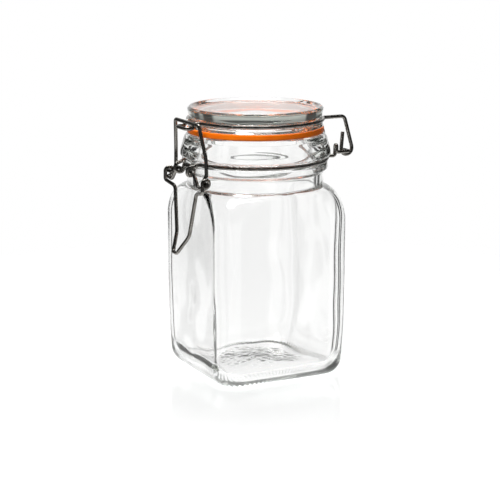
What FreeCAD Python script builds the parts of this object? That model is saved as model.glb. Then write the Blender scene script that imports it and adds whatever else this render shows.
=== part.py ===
"""Square swing-top glass canister: glass jar, glass lid, rubber gasket and four bent-wire fittings.

The jar stands on z = 0 with its axis on Z. The latch is at the front (-Y), the lid hinge at the back (+Y).
Every wire fitting is symmetric about the plane x = 0, so only its +X half is listed. Sizes are in mm.
"""
import FreeCAD
import Part
import math
import os

from FreeCAD import Vector

# ---- driving dimensions ------------------------------------------------------------------------
WIDTH = 62.0              # across the flats of the square body
CORNER_R = 10.0           # plan radius of the body's corners
WALL = 2.9                # glass thickness of the body
BASE = 3.0                # height of the inside floor at its edge
HEEL_R = 5.0              # the walls turn under by this much where they meet the base
HEEL_HEIGHT = 8.0         # and over this height
SHOULDER_LOW = 67.0       # where the square body starts to close in
SHOULDER_HIGH = 81.2      # where it has become the round neck
FOOT_TAPER = 0.8          # the walls lean in by this much at the foot
PUSH_UP = 2.0             # height of the dome in the base, under it and inside the jar

NECK_R = 29.2
NECK_TUCK = 0.3           # the body's top ends this far inside the round neck
NECK_FLAT = 0.7           # half of the flat left on each side of its outline there
NECK_TOP = 87.6           # where the neck flares into the bead
MOUTH_R = 25.6            # bore of the mouth
BEAD_R = 30.9             # ridge under the neck wire
BEAD_LOW = 88.8
BEAD_HIGH = 91.4
COLLAR_LOW = 94.4
COLLAR_HIGH = 102.2
COLLAR_R = 32.2           # widest part of the flared collar above the neck wire
LIP_Z = 104.0             # rim that carries the gasket

GASKET_R = 29.2
GASKET_T = 2.5
SEAL_GAP = 0.05           # the gasket lies this much above the rim

LID_R = 29.0
LID_T = 8.6               # from the sealing face to the top rim
DISH_DEPTH = 1.1          # of the lid's top inside its rim
PLUG_R = 25.0             # ring under the lid that centres the gasket
PLUG_DROP = 0.7           # the ring reaches this far below the jar's rim

WIRE_D = 1.6
RUN_GAP = 0.08            # radial clearance of a wire turning in a wire eye

HINGE = Vector(0, 38.1, 94.7)      # axis of the lid hinge, along X
PIVOT = Vector(0, -33.1, 90.0)     # axis of the lever in the neck wire's eyes
LINK = Vector(0, -32.2, 86.6)      # axis of the yoke in the lever's eyes
CROSSBAR = Vector(0, -32.0, 109.9)  # bar of the yoke that holds the lid down

# ---- derived dimensions ------------------------------------------------------------------------
WIRE_R = WIRE_D / 2
EYE_R = WIRE_D + RUN_GAP           # centreline radius of an eye that turns on a wire
SEAL_Z = LIP_Z + SEAL_GAP + GASKET_T
LID_Z = SEAL_Z + LID_T
PLUG_Z = LIP_Z - PLUG_DROP
NECK_WIRE_Z = 92.9
NECK_WIRE_R = 30.6
LID_WIRE_Z = SEAL_Z + 3.1
LID_WIRE_R = LID_R - 0.25
LID_GROOVE_R = LID_WIRE_R - WIRE_R
NECK_GROOVE_R = NECK_WIRE_R - WIRE_R
STOCK_GAP = 1.06 * WIRE_D          # pitch of two wires that lie side by side


# ---- geometry helpers --------------------------------------------------------------------------
def rounded_edges(corners, closed=False):
    """Straight runs and tangent arcs, from (point, radius) corners. A radius of 0 keeps the corner."""
    edges = []
    here = corners[0][0]
    following = corners[2:] + corners[:1] if closed else corners[2:]
    for (before, _), (corner, radius), (after, _) in zip(corners, corners[1:], following):
        if radius == 0:
            edges.append(Part.LineSegment(here, corner).toShape())
            here = corner
            continue
        inward = (corner - before).normalize()
        outward = (after - corner).normalize()
        turn = inward.getAngle(outward)
        reach = radius * math.tan(turn / 2)
        start = corner - inward * reach
        end = corner + outward * reach
        bisector = (outward - inward).normalize()
        middle = corner + bisector * (radius / math.cos(turn / 2) - radius)
        if here.distanceToPoint(start) > 1e-4:
            edges.append(Part.LineSegment(here, start).toShape())
        edges.append(Part.Arc(start, middle, end).toShape())
        here = end
    last = corners[0][0] if closed else corners[-1][0]
    edges.append(Part.LineSegment(here, last).toShape())
    return edges


def bent_wire(corners):
    """A solid round wire along the path. Prints its volume against its section times its length."""
    path = Part.Wire(rounded_edges(corners))
    along = corners[1][0] - corners[0][0]
    section = Part.Wire([Part.makeCircle(WIRE_R, corners[0][0], along)])
    solid = Part.Solid(path.makePipeShell([section], True, False))
    if solid.Volume < 0:
        solid.reverse()
    ideal = math.pi * WIRE_R ** 2 * path.Length
    print("wire %.1f mm long, volume / ideal %.4f" % (path.Length, solid.Volume / ideal))
    return solid


def mirrored(corners):
    """The same corners on the other side of x = 0, in the opposite order."""
    return [(Vector(-p.x, p.y, p.z), r) for p, r in reversed(corners)]


def half_ring(radius, z, front_x, back_x, bend, pieces=6):
    """Corners of a ring's +X half, from a bend at x = front_x to a bend at x = back_x."""
    reach = math.hypot(radius, bend)
    slip = math.atan2(bend, radius)
    first = -math.acos(front_x / reach)
    last = math.acos(back_x / reach)
    step = (last - first - 2 * slip) / pieces
    corners = [(Vector(front_x, reach * math.sin(first), z), bend)]
    for i in range(pieces):
        angle = first + slip + (i + 0.5) * step
        far = radius / math.cos(step / 2)
        corners.append((Vector(far * math.cos(angle), far * math.sin(angle), z), radius))
    corners.append((Vector(back_x, reach * math.sin(last), z), bend))
    return corners


def eye(centre, x_from, x_to, first_quarter, quarters):
    """Corners of a coil about an axis along X. Quarters count from -Y/-Z, anticlockwise seen from +X."""
    around = [(-1, -1), (1, -1), (1, 1), (-1, 1)]
    corners = []
    for i in range(quarters):
        y, z = around[(first_quarter + i) % 4]
        x = x_from + (x_to - x_from) * i / (quarters - 1)
        corners.append((Vector(x, centre.y + y * EYE_R, centre.z + z * EYE_R), 0.97 * EYE_R))
    return corners


def revolved(profile):
    """A solid of revolution about Z, from the closed outline's (radius, z, rounding) corners."""
    corners = [(Vector(r, 0, z), rounding) for r, z, rounding in profile]
    outline = Part.Face(Part.Wire(rounded_edges(corners, closed=True)))
    return outline.revolve(Vector(0, 0, 0), Vector(0, 0, 1), 360)


def rounded_square(half, corner, z):
    """The outline of a square of the given half width with rounded corners."""
    flat = half - corner
    slant = corner * math.sqrt(0.5)
    edges = []
    for quarter in range(4):
        turn = FreeCAD.Rotation(Vector(0, 0, 1), 90 * quarter)
        low = turn.multVec(Vector(half, flat, z))
        middle = turn.multVec(Vector(flat + slant, flat + slant, z))
        high = turn.multVec(Vector(flat, half, z))
        far = turn.multVec(Vector(-flat, half, z))
        edges.append(Part.Arc(low, middle, high).toShape())
        edges.append(Part.LineSegment(high, far).toShape())
    return Part.Wire(edges)


def body_form(inset, floor, heel, top):
    """The square body up to the round neck, moved inwards by inset, with its floor at the given height."""
    half = WIDTH / 2 - inset
    corner = CORNER_R - 0.8 * inset
    neck = NECK_R - inset - NECK_TUCK
    neck_corner = neck - NECK_FLAT
    heel_height = heel * HEEL_HEIGHT / HEEL_R
    low = floor + heel_height
    sections = []
    for step in range(5):
        angle = math.radians(22.5 * step)
        tuck = heel * (1 - math.sin(angle)) + FOOT_TAPER
        sections.append((half - tuck, corner - 0.5 * tuck, low - heel_height * math.cos(angle)))
    for share, taper in ((0.2, 0.3), (0.4, 0.1), (0.6, 0.0), (0.8, 0.0)):
        height = low + share * (SHOULDER_LOW - low)
        sections.append((half - taper, corner - 0.5 * taper, height))
    for step in range(7):
        angle = math.radians(15 * step)
        closing = 1 - math.cos(angle)
        height = SHOULDER_LOW + (SHOULDER_HIGH - SHOULDER_LOW) * math.sin(angle)
        rounding = corner + (neck_corner - corner) * closing
        sections.append((half + (neck - half) * closing, rounding, height))
    sections.append((neck, neck_corner, top))
    return Part.makeLoft([rounded_square(*section) for section in sections], True, False)


def dome(z, half):
    """The base's low square dome, standing on height z with a skirt below it."""
    sections = [rounded_square(half, 0.7 * half, z - 1.0)]
    for step in range(6):
        share = step / 6
        height = z + PUSH_UP * (0.5 - 0.5 * math.cos(math.pi * share))
        sections.append(rounded_square(half * (1 - share), 0.7 * half * (1 - share), height))
    return Part.makeLoft(sections, True, False)


# ---- the pieces --------------------------------------------------------------------------------
def glass_jar():
    """Square body, round neck with a bead and a flared collar, and a hollow inside with an open mouth."""
    neck_foot = SHOULDER_HIGH - 1.0
    join = neck_foot + 1.5
    core_r = MOUTH_R - 5.6
    finish = revolved([
        (core_r, neck_foot, 0),
        (NECK_R, neck_foot, 0),
        (NECK_R, NECK_TOP, 0.8),
        (BEAD_R, BEAD_LOW, 0.8),
        (BEAD_R, BEAD_HIGH, 0.8),
        (NECK_GROOVE_R, BEAD_HIGH + 0.5, 0),
        (NECK_GROOVE_R, COLLAR_LOW - 0.45, 0),
        (COLLAR_R, COLLAR_LOW, 0.8),
        (COLLAR_R - 0.1, COLLAR_LOW + 2.2, 6.0),
        (COLLAR_R - 1.7, COLLAR_HIGH, 1.0),
        (COLLAR_R - 2.7, LIP_Z - 0.4, 0.5),
        (COLLAR_R - 3.6, LIP_Z, 0.3),
        (core_r, LIP_Z, 0),
    ])
    bore = Part.makeCylinder(MOUTH_R, LIP_Z - neck_foot + 4, Vector(0, 0, neck_foot - 2))
    blank = body_form(0, 0, HEEL_R, join).fuse(finish)
    contents = body_form(WALL, BASE, HEEL_R + 1.0, join)
    contents = contents.cut(dome(BASE, WIDTH / 2 - WALL - HEEL_R - 2.5))
    pocket = dome(0, WIDTH / 2 - 9.5)
    return blank.cut(contents).cut(bore).cut(pocket).removeSplitter()


def glass_lid():
    """Disc with a rim round a shallow dish, a groove for the lid wire and a ring that fits the mouth."""
    return revolved([
        (0, LID_Z - DISH_DEPTH, 0),
        (LID_R - 3.8, LID_Z - DISH_DEPTH, 0.8),
        (LID_R - 1.8, LID_Z, 0.5),
        (LID_R - 0.9, LID_Z, 0.4),
        (LID_R, LID_Z - 0.9, 0.8),
        (LID_R, LID_WIRE_Z + 1.5, 0.5),
        (LID_GROOVE_R, LID_WIRE_Z + 0.95, 0),
        (LID_GROOVE_R, LID_WIRE_Z - 0.95, 0),
        (LID_R, LID_WIRE_Z - 1.4, 0.4),
        (LID_R, SEAL_Z, 0.3),
        (PLUG_R, SEAL_Z, 0),
        (PLUG_R - 0.5, PLUG_Z, 0.8),
        (PLUG_R - 3.2, PLUG_Z, 0.8),
        (PLUG_R - 4.6, LID_Z - 4.4, 2.0),
        (0, LID_Z - 3.8, 0),
    ])


def gasket():
    """Flat sealing ring round the lid's plug."""
    bore = PLUG_R + 0.2
    low = LIP_Z + SEAL_GAP
    return revolved([(bore, SEAL_Z, 0), (bore, low, 0), (GASKET_R, low, 0.7), (GASKET_R, SEAL_Z, 0.7)])


def lid_wire():
    """Ring in the lid's groove, a tongue at the front, and two hooked hinge legs at the back."""
    tongue_x = 4.6
    tongue_z = CROSSBAR.z - WIRE_D - 0.45
    leg_x = 11.6
    ring = half_ring(LID_WIRE_R, LID_WIRE_Z, tongue_x, leg_x, 1.3)
    tip_y = CROSSBAR.y - 2.7
    tongue = [(Vector(tongue_x - 0.2, tip_y, tongue_z), 1.5),
              (Vector(tongue_x, CROSSBAR.y + 0.7, tongue_z), 0.9),
              (Vector(tongue_x, CROSSBAR.y + 1.9, LID_WIRE_Z), 0.9)]
    leg = [(Vector(leg_x, HINGE.y - 1.2, LID_WIRE_Z), 2.2),
           (Vector(leg_x, HINGE.y + 2.7, HINGE.z + 1.6), 3.0),
           (Vector(leg_x, HINGE.y + 2.7, HINGE.z - EYE_R), 2.5),
           (Vector(leg_x, HINGE.y - 2.7, HINGE.z - EYE_R), 2.5),
           (Vector(leg_x, HINGE.y - 1.9, HINGE.z + 8.2), 0)]
    half = tongue + ring + leg
    return bent_wire(mirrored(half) + half)


def neck_wire():
    """Ring in the neck groove, two pivot eyes at the front, and two hinge arms with pins at the back."""
    eye_x = 5.0
    arm_x = 14.2
    hump_y = 32.1
    ring = half_ring(NECK_WIRE_R, NECK_WIRE_Z, eye_x + 2.4, arm_x - 3.4, 1.2)
    bridge = [(Vector(eye_x - 2.6, PIVOT.y + 1.1, PIVOT.z + 1.9), 0.9)]
    coil = eye(PIVOT, eye_x + 1.2, eye_x - 0.4, 3, 4)
    front = bridge + coil[::-1]
    back = [(Vector(arm_x - 2.0, hump_y, NECK_WIRE_Z), 0.9),
            (Vector(arm_x - 1.7, hump_y, HINGE.z + 3.0), 0.82),
            (Vector(arm_x, hump_y - 0.3, HINGE.z + 3.0), 0.82),
            (Vector(arm_x, hump_y - 0.3, HINGE.z), 1.0),
            (Vector(arm_x, HINGE.y, HINGE.z), 1.3),
            (Vector(arm_x - 4.4, HINGE.y, HINGE.z), 0)]
    half = front + ring + back
    return bent_wire(mirrored(half) + half)


def lever():
    """Handle that locks the lid: pivot pins, slanting arms, an eye on each side and a V-shaped grip."""
    eye_x = 17.0
    outer_x = eye_x + STOCK_GAP
    pin = [(Vector(2.2, PIVOT.y, PIVOT.z), 0),
           (Vector(7.8, PIVOT.y, PIVOT.z), 1.3),
           (Vector(13.4, LINK.y - 0.9, LINK.z - 2.5), 1.6)]
    coil = eye(LINK, eye_x, outer_x - 0.2, 0, 4)
    grip = [(Vector(outer_x, LINK.y - EYE_R, LINK.z - 3.6), 1.3),
            (Vector(10.6, LINK.y - 0.7, LINK.z - 5.2), 2.4),
            (Vector(6.2, LINK.y - 2.1, LINK.z - 24.0), 8.0),
            (Vector(1.9, LINK.y - 5.9, LINK.z - 31.6), 1.6)]
    half = pin + coil + grip
    return bent_wire(half + mirrored(half))


def yoke():
    """Loop whose crossbar holds the lid's tongue down and whose ends turn in the lever's eyes."""
    inner_x = 15.25
    half = [(Vector(11.6, CROSSBAR.y, CROSSBAR.z), 1.6),
            (Vector(14.9, LINK.y + 1.8, CROSSBAR.z - 13.5), 20.0),
            (Vector(inner_x, LINK.y + 1.8, LINK.z + 2.9), 1.5),
            (Vector(inner_x, LINK.y, LINK.z), 1.1),
            (Vector(19.9, LINK.y, LINK.z), 0)]
    return bent_wire(mirrored(half) + half)


PIECES = {
    "glass_jar": glass_jar,
    "glass_lid": glass_lid,
    "gasket": gasket,
    "lid_wire": lid_wire,
    "neck_wire": neck_wire,
    "lever": lever,
    "yoke": yoke,
}

os.makedirs("parts", exist_ok=True)
for name, make in PIECES.items():
    shape = make()
    shape.exportStep("parts/%s.step" % name)
    volume = shape.Volume / 1000
    print("%s: %.2f cm3, %d solid, valid %s" % (name, volume, len(shape.Solids), shape.isValid()))
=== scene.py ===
import math

import bpy
import numpy as np
from mathutils import Matrix, Vector, noise


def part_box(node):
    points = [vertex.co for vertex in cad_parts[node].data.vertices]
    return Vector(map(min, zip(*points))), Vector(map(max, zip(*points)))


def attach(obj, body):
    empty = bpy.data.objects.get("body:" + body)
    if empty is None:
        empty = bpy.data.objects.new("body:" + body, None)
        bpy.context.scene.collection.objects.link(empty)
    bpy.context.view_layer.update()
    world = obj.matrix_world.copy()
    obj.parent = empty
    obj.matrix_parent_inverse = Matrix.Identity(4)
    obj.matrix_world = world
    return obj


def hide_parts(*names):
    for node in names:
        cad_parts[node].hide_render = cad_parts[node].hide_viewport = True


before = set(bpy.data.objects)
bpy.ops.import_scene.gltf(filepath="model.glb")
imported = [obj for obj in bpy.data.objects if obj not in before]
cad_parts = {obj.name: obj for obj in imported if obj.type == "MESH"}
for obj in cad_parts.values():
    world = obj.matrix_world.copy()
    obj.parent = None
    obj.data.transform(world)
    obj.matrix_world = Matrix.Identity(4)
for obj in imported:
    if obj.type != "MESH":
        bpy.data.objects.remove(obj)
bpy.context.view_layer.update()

MM = 0.001


def size_of(node):
    """(lowest, highest) corner of a CAD node in millimetres."""
    return [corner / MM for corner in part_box(node)]


JAR_HIGH = size_of("glass_jar")[1]
LID_LOW, LID_HIGH = size_of("glass_lid")

# ---- sizes of the jar, from the frame where it gives them ------------------------------------------
WIDTH = 62.0                 # across the flats of the square body
CORNER_R = 10.0              # plan radius of the body's corners
WALL = 2.9                   # glass thickness of the body
BASE = 3.0                   # height of the inside floor at its edge
HEEL_R = 5.0                 # the walls turn under by this much where they meet the base
HEEL_HEIGHT = 8.0            # and over this height
FOOT_TAPER = 0.8             # the walls lean in by this much at the foot
INNER_HEEL_R = 6.0
INNER_CORNER_R = 7.68
PUSH_UP = 2.0                # height of the dome in the base, under it and inside the jar
DOME_HALF = WIDTH / 2 - 9.5  # half width of the dome underneath
SHOULDER_LOW = 67.0          # where the square body starts to close in
SHOULDER_HIGH = 81.2         # where it has become the round neck
NECK_R = 29.2
NECK_TUCK = 0.3              # the body's top ends this far inside the round neck
NECK_FLAT = 0.7              # half of the flat left on each side of its outline there
NECK_TOP = 87.6              # where the neck flares into the bead
BEAD_R = 30.9                # ridge under the neck wire
BEAD_LOW, BEAD_HIGH = 88.8, 91.4
COLLAR_R = JAR_HIGH.x
COLLAR_LOW, COLLAR_HIGH = 94.4, 102.2
MOUTH_R = 25.6               # bore of the mouth
LIP_Z = JAR_HIGH.z

# ---- sizes of the lid ------------------------------------------------------------------------------
LID_R = LID_HIGH.x
LID_Z = LID_HIGH.z
SEAL_Z = size_of("gasket")[1].z
SEAL_RISE = 0.5              # the lid's sealing face slopes up by this much towards the plug
PLUG_R = 25.0                # ring under the lid that fits the mouth
DISH_DEPTH = 1.1
WIRE_R = 0.8
LID_WIRE_Z = SEAL_Z + 3.1
UPPER_LEAN, LOWER_LEAN = 0.6, 0.4     # the lid's side leans in this far, above and below its wire

# ---- how the glass differs from a perfect casting --------------------------------------------------
INNER_WAVES = 0.45           # most that the inner wall's slow waves move it
WAVE_HEIGHT = 17.0           # of one wave, up the wall
WAVES_ROUND = 2.2            # radius of the noise's circle round the wall: more means shorter waves
FLOOR_DENTS = 0.28           # most that the inside floor's dents move it
DENT_SIZE = 2.2
RIDGE_DEPTH = 1.2            # of the ridges round the standing ring
RIDGE_TOP = 3.4              # height where they have died out

RIDGE_COLUMNS = 3            # mesh columns from one ridge to the next
COLUMNS = 312                # columns of every turned or square glass mesh, a multiple of those
ANGLES = np.arange(COLUMNS) * 2 * math.pi / COLUMNS
FLOOR_RINGS = 30             # rings of the jar's inside floor

# ---- the camera and the studio ---------------------------------------------------------------------
CAMERA_AZIMUTH, CAMERA_ELEVATION = 63.0, 12.85
CAMERA_DISTANCE = 670.0
CAMERA_TARGET = Vector((-1.04, -2.05, 52.1))
CAMERA_LENS = 111.3
LAMP_DISTANCE = 900.0
LAMP_AIM = Vector((0, 0, 55))
FLOOR_RADIUS = 300.0
FLOOR_SIDES = 128
FLOOR_FADE = (0.12, 0.26)    # metres from the jar between which the floor fades out
# Light level at each angle in degrees, 0 straight behind the jar: bright screens with dark gaps.
SCREENS = [(-180, 1.0), (-144, 1.0), (-142, 0.03), (-120, 0.03), (-118, 1.0), (-100, 1.0), (-98, 0.3),
           (-80, 0.3), (-78, 1.0), (-55, 1.0), (-53, 0.03), (-46, 0.03), (-44, 0.8), (-40, 0.8),
           (-38, 0.02), (-29, 0.02), (-27, 1.0), (36, 1.0), (37, 0.02), (53, 0.02), (54, 1.0), (82, 1.0),
           (84, 0.3), (104, 0.3), (106, 1.0), (128, 1.0), (130, 0.03), (146, 0.03), (148, 1.0), (180, 1.0)]
CEILING_LIGHT = 0.12
FRONT_SHARE, BACK_SHARE = 0.12, 1.0   # of the screens' light that surfaces catch from each side
GLASS_SHARE = 1.08                    # of the same light that is seen through the glass


# ---- shape helpers ---------------------------------------------------------------------------------
def outline(half, corner):
    """Distance from the axis to a rounded square of that half width, at each column's angle."""
    folded = np.abs((ANGLES + math.pi / 4) % (math.pi / 2) - math.pi / 4)
    flat = half - corner
    along = flat * (np.cos(folded) + np.sin(folded))
    round_part = along + np.sqrt(np.maximum(along ** 2 - 2 * flat ** 2 + corner ** 2, 0))
    return np.where(half * np.tan(folded) <= flat, half / np.cos(folded), round_part)


def turned_profile(corners, spacing=0.9):
    """(radius, z) points along straight runs and tangent arcs, from (radius, z, rounding) corners."""
    points = [Vector(corners[0][:2])]
    for before, (r, z, rounding), after in zip(corners, corners[1:], corners[2:]):
        corner = Vector((r, z))
        inward = (corner - Vector(before[:2])).normalized()
        outward = (Vector(after[:2]) - corner).normalized()
        turn = inward.angle_signed(outward)
        reach = rounding * math.tan(abs(turn) / 2)
        start = corner - inward * reach
        centre = corner + (outward - inward).normalized() * rounding / math.cos(turn / 2)
        steps = max(2, math.ceil(abs(turn) * 4 / math.pi * (3 if rounding > 0.25 else 1)))
        points += [centre + Matrix.Rotation(-turn * i / steps, 2) @ (start - centre)
                   for i in range(steps + 1)]
    points.append(Vector(corners[-1][:2]))
    return spread(points, spacing)


def spread(points, spacing):
    """The same line with points added on every run longer than spacing."""
    line = [points[0]]
    for point in points[1:]:
        length = (point - line[-1]).length
        if length < 1e-4:
            continue
        here = line[-1]
        parts = max(1, math.ceil(length / spacing))
        line += [here.lerp(point, i / parts) for i in range(1, parts + 1)]
    return line


def skin(name, radii, heights, material, body):
    """A closed smooth mesh from rings (radii: rings x columns, in mm) that end in a pole at each end."""
    rings = len(radii)
    points = np.stack([radii * np.cos(ANGLES), radii * np.sin(ANGLES), heights], axis=2)
    poles = [(0, 0, float(np.mean(heights[0]))), (0, 0, float(np.mean(heights[-1])))]
    vertices = points.reshape(-1, 3).tolist() + poles
    ring = np.arange(COLUMNS)
    following = (ring + 1) % COLUMNS
    faces = []
    for i in range(rings - 1):
        low, high = i * COLUMNS, (i + 1) * COLUMNS
        faces += np.stack([low + ring, low + following, high + following, high + ring], axis=1).tolist()
    last = (rings - 1) * COLUMNS
    faces += [(rings * COLUMNS, int(b), int(a)) for a, b in zip(ring, following)]
    faces += [(rings * COLUMNS + 1, int(last + a), int(last + b)) for a, b in zip(ring, following)]
    return solid_mesh(name, vertices, faces, material, body)


def solid_mesh(name, vertices, faces, material, body):
    """A smooth-shaded mesh object from millimetre vertices, riding on a body."""
    mesh = bpy.data.meshes.new(name)
    mesh.from_pydata([Vector(v) * MM for v in vertices], [], faces)
    mesh.shade_smooth()
    mesh.materials.append(material)
    made = bpy.data.objects.new(name, mesh)
    bpy.context.scene.collection.objects.link(made)
    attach(made, body)
    return made


def turned(name, profile, material, body):
    """A solid of revolution whose (radius, z) profile starts and ends on the axis."""
    inner = [point for point in profile if point.x > 1e-3]
    radii = np.array([[point.x] * COLUMNS for point in inner])
    heights = np.array([[point.y] * COLUMNS for point in inner])
    return skin(name, radii, heights, material, body)


# ---- material helpers ------------------------------------------------------------------------------
def new_material(name):
    """A new material, its node tree and its Principled node."""
    material = bpy.data.materials.new(name)
    material.use_nodes = True
    tree = material.node_tree
    return material, tree, tree.nodes["Principled BSDF"]


def node(tree, kind, **settings):
    """A new node with its properties or input values set by name."""
    made = tree.nodes.new(kind)
    for key, value in settings.items():
        if hasattr(made, key):
            setattr(made, key, value)
        else:
            made.inputs[key.replace("_", " ")].default_value = value
    return made


def place_noise(tree, scale, detail, stretch=(1, 1, 1)):
    """Noise fixed to the object, with features of about 1/scale metres; its Factor output."""
    place = node(tree, "ShaderNodeTexCoord")
    mapping = node(tree, "ShaderNodeMapping", Scale=stretch)
    pattern = node(tree, "ShaderNodeTexNoise", Scale=scale, Detail=detail)
    tree.links.new(place.outputs["Object"], mapping.inputs["Vector"])
    tree.links.new(mapping.outputs["Vector"], pattern.inputs["Vector"])
    return pattern.outputs[0]


def spread_values(tree, source, low, high, start=0.3, end=0.7):
    """source from start..end mapped on to low..high."""
    ramp = node(tree, "ShaderNodeMapRange")
    for key, value in (("From Min", start), ("From Max", end), ("To Min", low), ("To Max", high)):
        ramp.inputs[key].default_value = value
    tree.links.new(source, ramp.inputs["Value"])
    return ramp.outputs[0]


def bump(tree, shader, height, distance, strength=1.0):
    """Drives the shader's normal by a height of 0..1 that stands for distance millimetres."""
    relief = node(tree, "ShaderNodeBump", Strength=strength, Distance=distance * MM)
    tree.links.new(height, relief.inputs["Height"])
    tree.links.new(relief.outputs["Normal"], shader.inputs["Normal"])


# ---- materials -------------------------------------------------------------------------------------
def two_tone(tree, source, dark, light):
    """A colour that runs from dark to light over the middle of source's range."""
    ramp = node(tree, "ShaderNodeValToRGB")
    for stop, position, colour in zip(ramp.color_ramp.elements, (0.3, 0.7), (dark, light)):
        stop.position = position
        stop.color = (*colour, 1)
    tree.links.new(source, ramp.inputs[0])
    return ramp.outputs[0]


def mixed(tree, share, first, second):
    """The material's surface as a mix of two shaders, all second where share is 1."""
    mix = node(tree, "ShaderNodeMixShader")
    for source, socket in zip((share, first, second), mix.inputs):
        tree.links.new(source, socket)
    tree.links.new(mix.outputs[0], tree.nodes["Material Output"].inputs["Surface"])


def glass(name, ripple, density):
    """Pressed soda glass: clear with a grey-green depth, faint ripples and a slightly uneven polish.
    Shadow rays pass straight through it, so the jar's shadow stays pale."""
    material, tree, shader = new_material(name)
    shader.inputs["Base Color"].default_value = (1, 1, 1, 1)
    shader.inputs["Transmission Weight"].default_value = 1.0
    shader.inputs["IOR"].default_value = 1.52
    polish = spread_values(tree, place_noise(tree, 90, 4), 0.0, 0.025)
    tree.links.new(polish, shader.inputs["Roughness"])
    bump(tree, shader, place_noise(tree, 70, 1, (1, 1, 0.5)), ripple)
    lamp = node(tree, "ShaderNodeBsdfTransparent", Color=(0.9, 0.91, 0.91, 1))
    path = node(tree, "ShaderNodeLightPath")
    mixed(tree, path.outputs["Is Shadow Ray"], shader.outputs[0], lamp.outputs[0])
    depth = node(tree, "ShaderNodeVolumeAbsorption", Color=(0.60, 0.64, 0.58, 1), Density=density)
    tree.links.new(depth.outputs[0], tree.nodes["Material Output"].inputs["Volume"])
    return material


def steel():
    """Drawn steel wire: grey metal with fine die lines, faint stains and small scuffs."""
    material, tree, shader = new_material("drawn_steel")
    shader.inputs["Metallic"].default_value = 1.0
    colour = two_tone(tree, place_noise(tree, 260, 5), (0.17, 0.16, 0.145), (0.30, 0.29, 0.27))
    tree.links.new(colour, shader.inputs["Base Color"])
    scuff = place_noise(tree, 1500, 3)
    tree.links.new(spread_values(tree, scuff, 0.2, 0.3), shader.inputs["Roughness"])
    bump(tree, shader, place_noise(tree, 2600, 2, (1, 1, 0.2)), 0.01, 0.3)
    return material


def rubber():
    """Orange moulded rubber with a satin skin, faint mottling and fine grain."""
    material, tree, shader = new_material("orange_rubber")
    shader.inputs["Specular IOR Level"].default_value = 0.25
    colour = two_tone(tree, place_noise(tree, 160, 4), (0.95, 0.16, 0.002), (1.0, 0.21, 0.004))
    tree.links.new(colour, shader.inputs["Base Color"])
    tree.links.new(spread_values(tree, place_noise(tree, 900, 3), 0.38, 0.55), shader.inputs["Roughness"])
    bump(tree, shader, place_noise(tree, 3500, 2), 0.03, 0.6)
    return material


def floor_with_painted_shade():
    """Pale polished board with painted shade: its colour is darker under and around the jar. The board
    fades out towards its edge.
    """
    material, tree, shader = new_material("pale_board")
    place = node(tree, "ShaderNodeTexCoord")
    length = node(tree, "ShaderNodeVectorMath", operation="LENGTH")
    tree.links.new(place.outputs["Object"], length.inputs[0])
    away = length.outputs["Value"]
    # painted shade: the base colour runs from 0.70 close under the jar to 0.96 further out
    tree.links.new(spread_values(tree, away, 0.70, 0.96, 0.06, 0.3), shader.inputs["Base Color"])
    polish = spread_values(tree, place_noise(tree, 40, 2), 0.07, 0.11)
    tree.links.new(polish, shader.inputs["Roughness"])
    clear = node(tree, "ShaderNodeBsdfTransparent")
    mixed(tree, spread_values(tree, away, 0.0, 1.0, *FLOOR_FADE), shader.outputs[0], clear.outputs[0])
    return material


# ---- the glass pieces ------------------------------------------------------------------------------
def body_rings(inset, corner, floor, heel):
    """(radii, heights) of the square body from the floor's edge up to the neck, moved in by inset."""
    half = WIDTH / 2 - inset
    neck = NECK_R - inset - NECK_TUCK
    heel_height = heel * HEEL_HEIGHT / HEEL_R
    low = floor + heel_height
    rings = []
    for angle in np.radians(np.linspace(0, 90, 13)):
        tuck = heel * (1 - math.sin(angle)) + FOOT_TAPER
        rings.append((half - tuck, corner - 0.5 * tuck, low - heel_height * math.cos(angle)))
    for share in np.linspace(0, 1, 42)[1:-1]:
        taper = FOOT_TAPER * max(0, 1 - share / 0.6) ** 2
        rings.append((half - taper, corner - 0.5 * taper, low + share * (SHOULDER_LOW - low)))
    for angle in np.radians(np.linspace(0, 88, 25)):
        closing = 1 - math.cos(angle)
        height = SHOULDER_LOW + (SHOULDER_HIGH - SHOULDER_LOW) * math.sin(angle)
        rounding = corner + (neck - NECK_FLAT - corner) * closing
        rings.append((half + (neck - half) * closing, rounding, height))
    radii = np.array([outline(half, corner) for half, corner, _ in rings])
    return radii, [height for _, _, height in rings]


def round_above_shoulder(radii, levels, least):
    """The same rings, with those above the shoulder's start kept at least as wide as the round neck."""
    return np.where(np.array(levels)[:, None] > SHOULDER_LOW, np.maximum(radii, least), radii)


def uneven(radii, levels):
    """The inner wall with the slow waves left by the blowing."""
    around = [(WAVES_ROUND * math.cos(a), WAVES_ROUND * math.sin(a)) for a in ANGLES]
    waves = np.array([[noise.noise(Vector((x, y, z / WAVE_HEIGHT))) for x, y in around] for z in levels])
    return radii + INNER_WAVES * waves


def dimpled(radii, heights):
    """The inside floor with its small dents and ripples, which die out at its edge and middle."""
    rings = radii[-FLOOR_RINGS:]
    spots = np.stack([rings * np.cos(ANGLES), rings * np.sin(ANGLES)], axis=2) / DENT_SIZE
    dents = np.array([[noise.noise(Vector((x, y, 0))) for x, y in ring] for ring in spots])
    fade = np.clip((rings[0].min() - rings) / 3, 0, 1) * np.clip(rings / 6, 0, 1)
    heights[-FLOOR_RINGS:] += FLOOR_DENTS * dents * fade
    return heights


def ridged(radii, heights):
    """The standing ring with its row of short radial ridges, which show faintly in the floor's edge."""
    ridges = 0.5 + 0.5 * np.cos(2 * math.pi / RIDGE_COLUMNS * np.arange(COLUMNS))
    edge = outline(WIDTH / 2 - 0.8, CORNER_R - 0.5)
    inner = outline(DOME_HALF, CORNER_R - 2.6)
    across = np.sin(math.pi * np.clip((radii - inner) / (edge - inner), 0, 1)) ** 2
    return heights + RIDGE_DEPTH * ridges * across * np.clip(RIDGE_TOP - heights, 0, 1)


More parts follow.
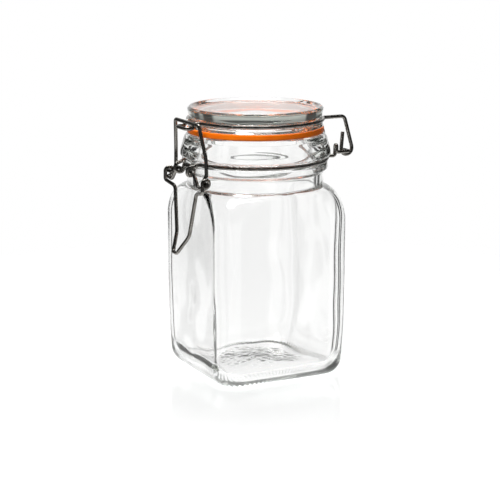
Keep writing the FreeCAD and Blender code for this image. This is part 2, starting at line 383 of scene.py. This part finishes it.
def underside():
    """(radii, heights) of the domed base from near the axis out to the standing ring."""
    stand = WIDTH / 2 - HEEL_R - FOOT_TAPER
    halves = np.concatenate([np.linspace(1, 14, 10), np.linspace(14.6, stand - 0.25, 20)])
    radii = [outline(half, min(0.7 * half, CORNER_R - 3.1)) for half in halves]
    heights = [PUSH_UP * (0.5 + 0.5 * math.cos(math.pi * min(1, half / DOME_HALF))) for half in halves]
    return radii, heights


def inside_floor():
    """(radii, heights) of the inside floor from its edge to near the axis."""
    edge = WIDTH / 2 - WALL - INNER_HEEL_R - FOOT_TAPER
    halves = np.linspace(edge - 0.8, 1, FLOOR_RINGS)
    corner = INNER_CORNER_R - 0.5 * INNER_HEEL_R
    radii = [outline(half, min(0.8 * half, corner)) for half in halves]
    heights = [BASE + PUSH_UP * (0.5 + 0.5 * math.cos(math.pi * half / edge)) for half in halves]
    return radii, heights


def jar():
    """The jar as one skin: under the base, up the outside, over the lip and down inside to the floor."""
    radii, heights = underside()

    outer, levels = body_rings(0, CORNER_R, 0, HEEL_R)
    radii += list(round_above_shoulder(outer, levels, NECK_R))
    heights += levels

    finish = turned_profile([
        (NECK_R, SHOULDER_HIGH + 0.6, 0),
        (NECK_R, NECK_TOP, 0.9),
        (BEAD_R, BEAD_LOW, 0.8),
        (BEAD_R, BEAD_HIGH, 0.7),
        (BEAD_R - 1.1, BEAD_HIGH + 0.5, 0.1),
        (BEAD_R - 1.1, COLLAR_LOW - 0.45, 0.1),
        (COLLAR_R, COLLAR_LOW, 0.8),
        (COLLAR_R - 0.1, COLLAR_LOW + 2.2, 6.0),
        (COLLAR_R - 1.7, COLLAR_HIGH, 1.0),
        (COLLAR_R - 2.7, LIP_Z - 0.4, 0.5),
        (COLLAR_R - 3.6, LIP_Z, 0.4),
        (MOUTH_R, LIP_Z, 0.6),
        (MOUTH_R, SHOULDER_HIGH + 0.4, 0)])
    radii += [np.full(COLUMNS, point.x) for point in finish]
    heights += [point.y for point in finish]

    inner, levels = body_rings(WALL, INNER_CORNER_R, BASE, INNER_HEEL_R)
    inner = round_above_shoulder(uneven(inner, levels), levels, MOUTH_R)
    radii += list(inner)[::-1]
    heights += levels[::-1]

    floor_radii, floor_heights = inside_floor()
    radii = np.array(radii + floor_radii)
    heights = np.repeat(np.array(heights + floor_heights)[:, None], COLUMNS, axis=1)
    heights = ridged(radii, dimpled(radii, heights))
    made = skin("jar_glass", radii, heights, glass("jar_glass", 0.02, 14.0), "root")
    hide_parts("glass_jar")


def lid():
    """The lid's disc with its rim, wire groove and plug ring."""
    groove_r = LID_R - 0.25 - WIRE_R
    profile = turned_profile([
        (0, LID_Z - 3.8, 0),
        (20.4, LID_Z - 4.4, 2.0),
        (PLUG_R - 3.2, LID_LOW.z, 0.8),
        (PLUG_R - 0.5, LID_LOW.z, 0.8),
        (PLUG_R, SEAL_Z + SEAL_RISE, 0.1),
        (LID_R, SEAL_Z, 0.3),
        (LID_R - LOWER_LEAN, LID_WIRE_Z - 1.4, 0.4),
        (groove_r, LID_WIRE_Z - 0.95, 0.1),
        (groove_r, LID_WIRE_Z + 0.95, 0.1),
        (LID_R - UPPER_LEAN, LID_WIRE_Z + 1.5, 0.5),
        (LID_R, LID_Z - 0.9, 0.8),
        (LID_R - 0.9, LID_Z, 0.4),
        (LID_R - 1.8, LID_Z, 0.5),
        (LID_R - 3.8, LID_Z - DISH_DEPTH, 0.8),
        (0, LID_Z - DISH_DEPTH, 0)])
    made = turned("lid_glass", profile, glass("lid_glass", 0.015, 24.0), "lid")
    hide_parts("glass_lid")


# ---- the studio ------------------------------------------------------------------------------------
def direction(azimuth, elevation):
    """The unit vector from the jar at those angles in degrees: azimuth 0 is the front, 90 is +X."""
    turn, rise = math.radians(azimuth), math.radians(elevation)
    return Vector((math.sin(turn) * math.cos(rise), -math.cos(turn) * math.cos(rise), math.sin(rise)))


def camera():
    """The camera at the object's three-quarter view, looking slightly down."""
    back = direction(CAMERA_AZIMUTH, CAMERA_ELEVATION)
    data = bpy.data.cameras.new("camera")
    data.lens = CAMERA_LENS
    data.sensor_width = 36
    made = bpy.data.objects.new("camera", data)
    made.location = (CAMERA_TARGET + back * CAMERA_DISTANCE) * MM
    made.rotation_euler = (-back).to_track_quat("-Z", "Y").to_euler()
    bpy.context.scene.collection.objects.link(made)
    bpy.context.scene.camera = made


def softbox(name, azimuth, elevation, size, power, mirrored=True):
    """A square area light that faces the jar's middle from that direction."""
    away = direction(azimuth, elevation)
    data = bpy.data.lights.new(name, "AREA")
    data.shape = "SQUARE"
    data.size = size * MM
    data.energy = power
    made = bpy.data.objects.new(name, data)
    made.location = (away * LAMP_DISTANCE + LAMP_AIM) * MM
    made.rotation_euler = (-away).to_track_quat("-Z", "Y").to_euler()
    made.visible_glossy = mirrored
    bpy.context.scene.collection.objects.link(made)


def floor():
    """A pale round board, slightly glossy, that isn't seen through the glass."""
    turns = np.arange(FLOOR_SIDES) * 2 * math.pi / FLOOR_SIDES
    corners = [(math.cos(a) * FLOOR_RADIUS * MM, math.sin(a) * FLOOR_RADIUS * MM, 0) for a in turns]
    mesh = bpy.data.meshes.new("floor")
    mesh.from_pydata(corners, [], [list(range(FLOOR_SIDES))])
    mesh.materials.append(floor_with_painted_shade())
    made = bpy.data.objects.new("floor", mesh)
    bpy.context.scene.collection.objects.link(made)
    made.visible_transmission = False


def studio():
    """White all round for the camera; for light on the object, bright screens with dark gaps between,
    under a dim ceiling. What is seen through the glass has the ceiling start lower."""
    world = bpy.data.worlds.new("studio")
    bpy.context.scene.world = world
    world.use_nodes = True
    tree = world.node_tree
    tree.nodes.clear()

    def maths(operation, *values):
        step = node(tree, "ShaderNodeMath", operation=operation)
        for socket, value in zip(step.inputs, values):
            if isinstance(value, (int, float)):
                socket.default_value = value
            else:
                tree.links.new(value, socket)
        return step.outputs[0]

    place = node(tree, "ShaderNodeTexCoord")
    split = node(tree, "ShaderNodeSeparateXYZ")
    tree.links.new(place.outputs["Generated"], split.inputs[0])
    x, y, z = split.outputs
    behind = math.radians(CAMERA_AZIMUTH + 90)
    turn = maths("SUBTRACT", maths("ARCTAN2", y, x), behind)
    round_angle = maths("WRAP", turn, math.pi, -math.pi)
    screens = node(tree, "ShaderNodeValToRGB")
    tree.links.new(maths("MULTIPLY_ADD", round_angle, 0.5 / math.pi, 0.5), screens.inputs[0])
    for i, (angle, level) in enumerate(SCREENS):
        stop = screens.color_ramp.elements[i] if i < 2 else screens.color_ramp.elements.new(1.0)
        stop.position = 0.5 + angle / 360
        stop.color = (level, level, level, 1)
    path = node(tree, "ShaderNodeLightPath")
    seen = path.outputs["Is Transmission Ray"]
    low_ceiling = maths("MULTIPLY", seen, spread_values(tree, z, 0.0, 1.0, 0.03, 0.2))
    ceiling = maths("MAXIMUM", spread_values(tree, z, 0.0, 1.0, 0.25, 0.5), low_ceiling)
    nadir = spread_values(tree, z, 1.0, 0.0, -0.65, -0.45)
    walls = maths("MULTIPLY", maths("MAXIMUM", screens.outputs[0], nadir), maths("SUBTRACT", 1.0, ceiling))
    light = maths("ADD", walls, maths("MULTIPLY", CEILING_LIGHT, ceiling))
    backdrop = spread_values(tree, maths("COSINE", turn), FRONT_SHARE, BACK_SHARE, 0.7, 0.9)
    share = maths("MULTIPLY_ADD", seen, maths("SUBTRACT", GLASS_SHARE, backdrop), backdrop)
    level = maths("MAXIMUM", maths("MULTIPLY", light, share), path.outputs["Is Camera Ray"])
    background = node(tree, "ShaderNodeBackground", Strength=1.0)
    output = node(tree, "ShaderNodeOutputWorld")
    tree.links.new(level, background.inputs["Color"])
    tree.links.new(background.outputs[0], output.inputs["Surface"])


# ---- everything ------------------------------------------------------------------------------------
def finish_node(name, material):
    """Gives a CAD node that keeps its own shape its detailed material."""
    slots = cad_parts[name].data.materials
    slots.clear()
    slots.append(material)


wire_finish = steel()
for name in ("lid_wire", "neck_wire", "lever", "yoke"):
    finish_node(name, wire_finish)
finish_node("gasket", rubber())
jar()
lid()
floor()
studio()
camera()
softbox("key", CAMERA_AZIMUTH - 35, 55, 420, 8, mirrored=False)
softbox("top", CAMERA_AZIMUTH + 180, 78, 600, 9)

scene = bpy.context.scene
scene.view_settings.view_transform = "Standard"
scene.cycles.max_bounces = 24
scene.cycles.transmission_bounces = 24
scene.cycles.glossy_bounces = 12
scene.cycles.transparent_max_bounces = 16
